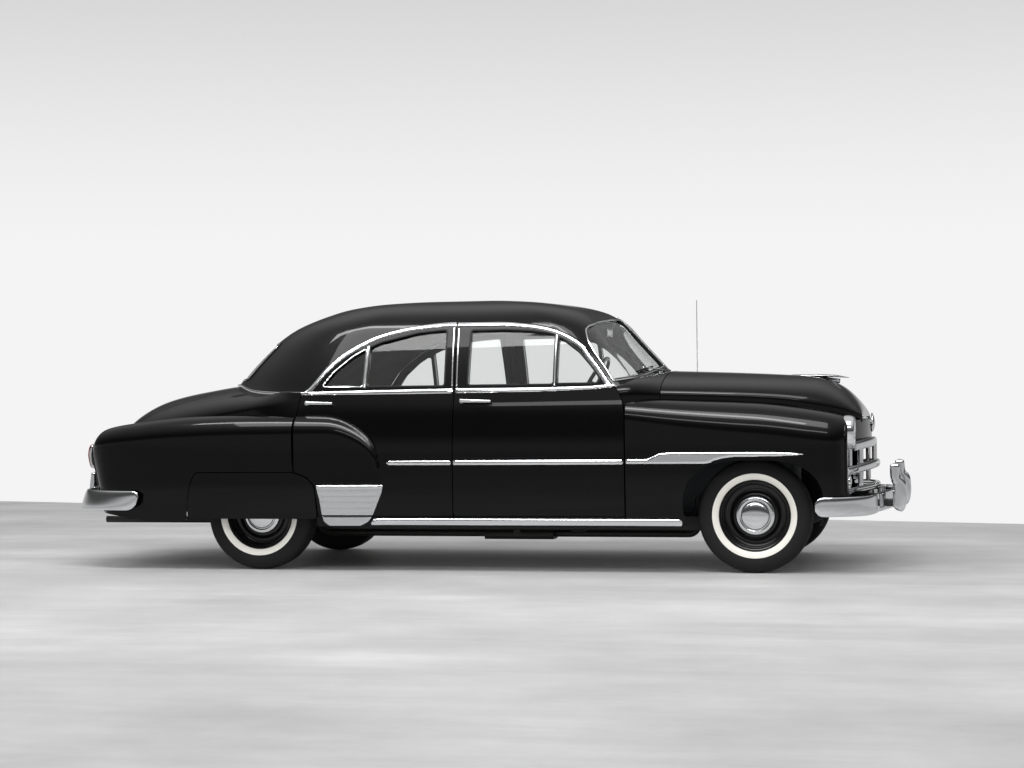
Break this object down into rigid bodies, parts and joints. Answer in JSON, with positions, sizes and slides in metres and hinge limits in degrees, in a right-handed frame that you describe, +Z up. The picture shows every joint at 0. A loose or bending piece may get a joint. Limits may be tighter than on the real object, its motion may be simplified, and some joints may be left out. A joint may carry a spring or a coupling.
{
  "type": "four-door sedan car of the early 1950s",
  "caption": "Early 1950s four-door sedan with opening doors, hood and trunk, steered front wheels and wheels that roll.",
  "frame": {"origin": "on the floor, midway along the overall length and width, at the bottom centre of the box round the car", "axes": "+X towards the car's front, +Y to its left side, +Z up"},
  "size_m": [5.022, 1.876, 1.6119],
  "materials": {
    "black_enamel": "gloss",
    "black_wheel_enamel": "gloss",
    "chrome_plate": "polished",
    "lamp_glass": "fluted",
    "lamp_red": "gloss",
    "window_glass": "clear",
    "chassis_black": "satin",
    "engine_iron": "painted",
    "exhaust_steel": "dull",
    "seat_cloth": "woven",
    "dash_enamel": "gloss",
    "tyre_rubber": "matte"
  },
  "bodies": {
    "body": {"body_shell": "black_enamel", "greenhouse": "black_enamel", "floor_pan": "chassis_black", "chassis_frame": "chassis_black", "front_fender_left": "black_enamel", "front_fender_right": "black_enamel", "rear_fender_left": "black_enamel", "rear_fender_right": "black_enamel", "rear_skirts": "black_enamel", "front_panel": "black_enamel", "grille": "chrome_plate", "headlamps": "lamp_glass", "taillamps": "lamp_red", "front_bumper": "chrome_plate", "rear_bumper": "chrome_plate", "windshield": "window_glass", "rear_window": "window_glass", "engine": "engine_iron", "radiator": "chassis_black", "fuel_tank": "chassis_black", "exhaust": "exhaust_steel", "front_suspension": "chassis_black", "rear_axle": "chassis_black", "rear_springs": "chassis_black", "front_seat": "seat_cloth", "rear_seat": "seat_cloth", "dashboard": "dash_enamel", "steering_column": "dash_enamel", "antenna": "chrome_plate"},
    "door_front_left": {"front_door_left": "black_enamel", "front_door_glass_left": "window_glass"},
    "door_front_right": {"front_door_right": "black_enamel", "front_door_glass_right": "window_glass"},
    "door_rear_left": {"rear_door_left": "black_enamel", "rear_door_glass_left": "window_glass"},
    "door_rear_right": {"rear_door_right": "black_enamel", "rear_door_glass_right": "window_glass"},
    "hood_lid": {"hood": "black_enamel"},
    "trunk": {"trunk_lid": "black_enamel"},
    "steering_knuckle_left": {"knuckle_left": "chassis_black"},
    "steering_knuckle_right": {"knuckle_right": "chassis_black"},
    "steering_hand_wheel": {"steering_wheel": "dash_enamel"},
    "road_wheel_front_left": {"wheel_front_left": "black_wheel_enamel", "tyre_front_left": "tyre_rubber"},
    "road_wheel_front_right": {"wheel_front_right": "black_wheel_enamel", "tyre_front_right": "tyre_rubber"},
    "road_wheel_rear_left": {"wheel_rear_left": "black_wheel_enamel", "tyre_rear_left": "tyre_rubber"},
    "road_wheel_rear_right": {"wheel_rear_right": "black_wheel_enamel", "tyre_rear_right": "tyre_rubber"}
  },
  "joints": [
    {"name": "front_door_left_swing", "type": "hinge", "parent": "body", "child": "door_front_left", "pos_m": [0.962, 0.896, 0.7], "axis": [0, 0, -1], "range_deg": [0, 65]},
    {"name": "rear_door_left_swing", "type": "hinge", "parent": "body", "child": "door_rear_left", "pos_m": [-0.04, 0.896, 0.7], "axis": [0, 0, -1], "range_deg": [0, 65]},
    {"name": "front_door_right_swing", "type": "hinge", "parent": "body", "child": "door_front_right", "pos_m": [0.962, -0.896, 0.7], "axis": [0, 0, 1], "range_deg": [0, 65]},
    {"name": "rear_door_right_swing", "type": "hinge", "parent": "body", "child": "door_rear_right", "pos_m": [-0.04, -0.896, 0.7], "axis": [0, 0, 1], "range_deg": [0, 65]},
    {"name": "hood_lift", "type": "hinge", "parent": "body", "child": "hood_lid", "pos_m": [1.1435, 0, 1.153], "axis": [0, -1, 0], "range_deg": [0, 48]},
    {"name": "trunk_lift", "type": "hinge", "parent": "body", "child": "trunk", "pos_m": [-1.7045, 0, 1.08], "axis": [0, 1, 0], "range_deg": [0, 60]},
    {"name": "steer_left", "type": "hinge", "parent": "body", "child": "steering_knuckle_left", "pos_m": [1.683, 0.64, 0.322], "axis": [0, 0, 1], "range_deg": [-30, 30]},
    {"name": "steer_right", "type": "hinge", "parent": "body", "child": "steering_knuckle_right", "pos_m": [1.683, -0.64, 0.322], "axis": [0, 0, 1], "range_deg": [-30, 30]},
    {"name": "steering_wheel_turn", "type": "hinge", "parent": "body", "child": "steering_hand_wheel", "pos_m": [0.545, 0.35, 1.065], "axis": [-0.866, 0, 0.5], "range_deg": [-540, 540]},
    {"name": "front_wheel_left_spin", "type": "hinge", "parent": "steering_knuckle_left", "child": "road_wheel_front_left", "pos_m": [1.683, 0.72, 0.322], "axis": [0, 1, 0], "continuous": true},
    {"name": "rear_wheel_left_spin", "type": "hinge", "parent": "body", "child": "road_wheel_rear_left", "pos_m": [-1.238, 0.746, 0.322], "axis": [0, 1, 0], "continuous": true},
    {"name": "front_wheel_right_spin", "type": "hinge", "parent": "steering_knuckle_right", "child": "road_wheel_front_right", "pos_m": [1.683, -0.72, 0.322], "axis": [0, 1, 0], "continuous": true},
    {"name": "rear_wheel_right_spin", "type": "hinge", "parent": "body", "child": "road_wheel_rear_right", "pos_m": [-1.238, -0.746, 0.322], "axis": [0, 1, 0], "continuous": true}
  ],
  "couplings": [
    {"joint": "steer_right", "follows": "steer_left", "ratio": 1},
    {"joint": "steering_wheel_turn", "follows": "steer_left", "ratio": 18}
  ]
}
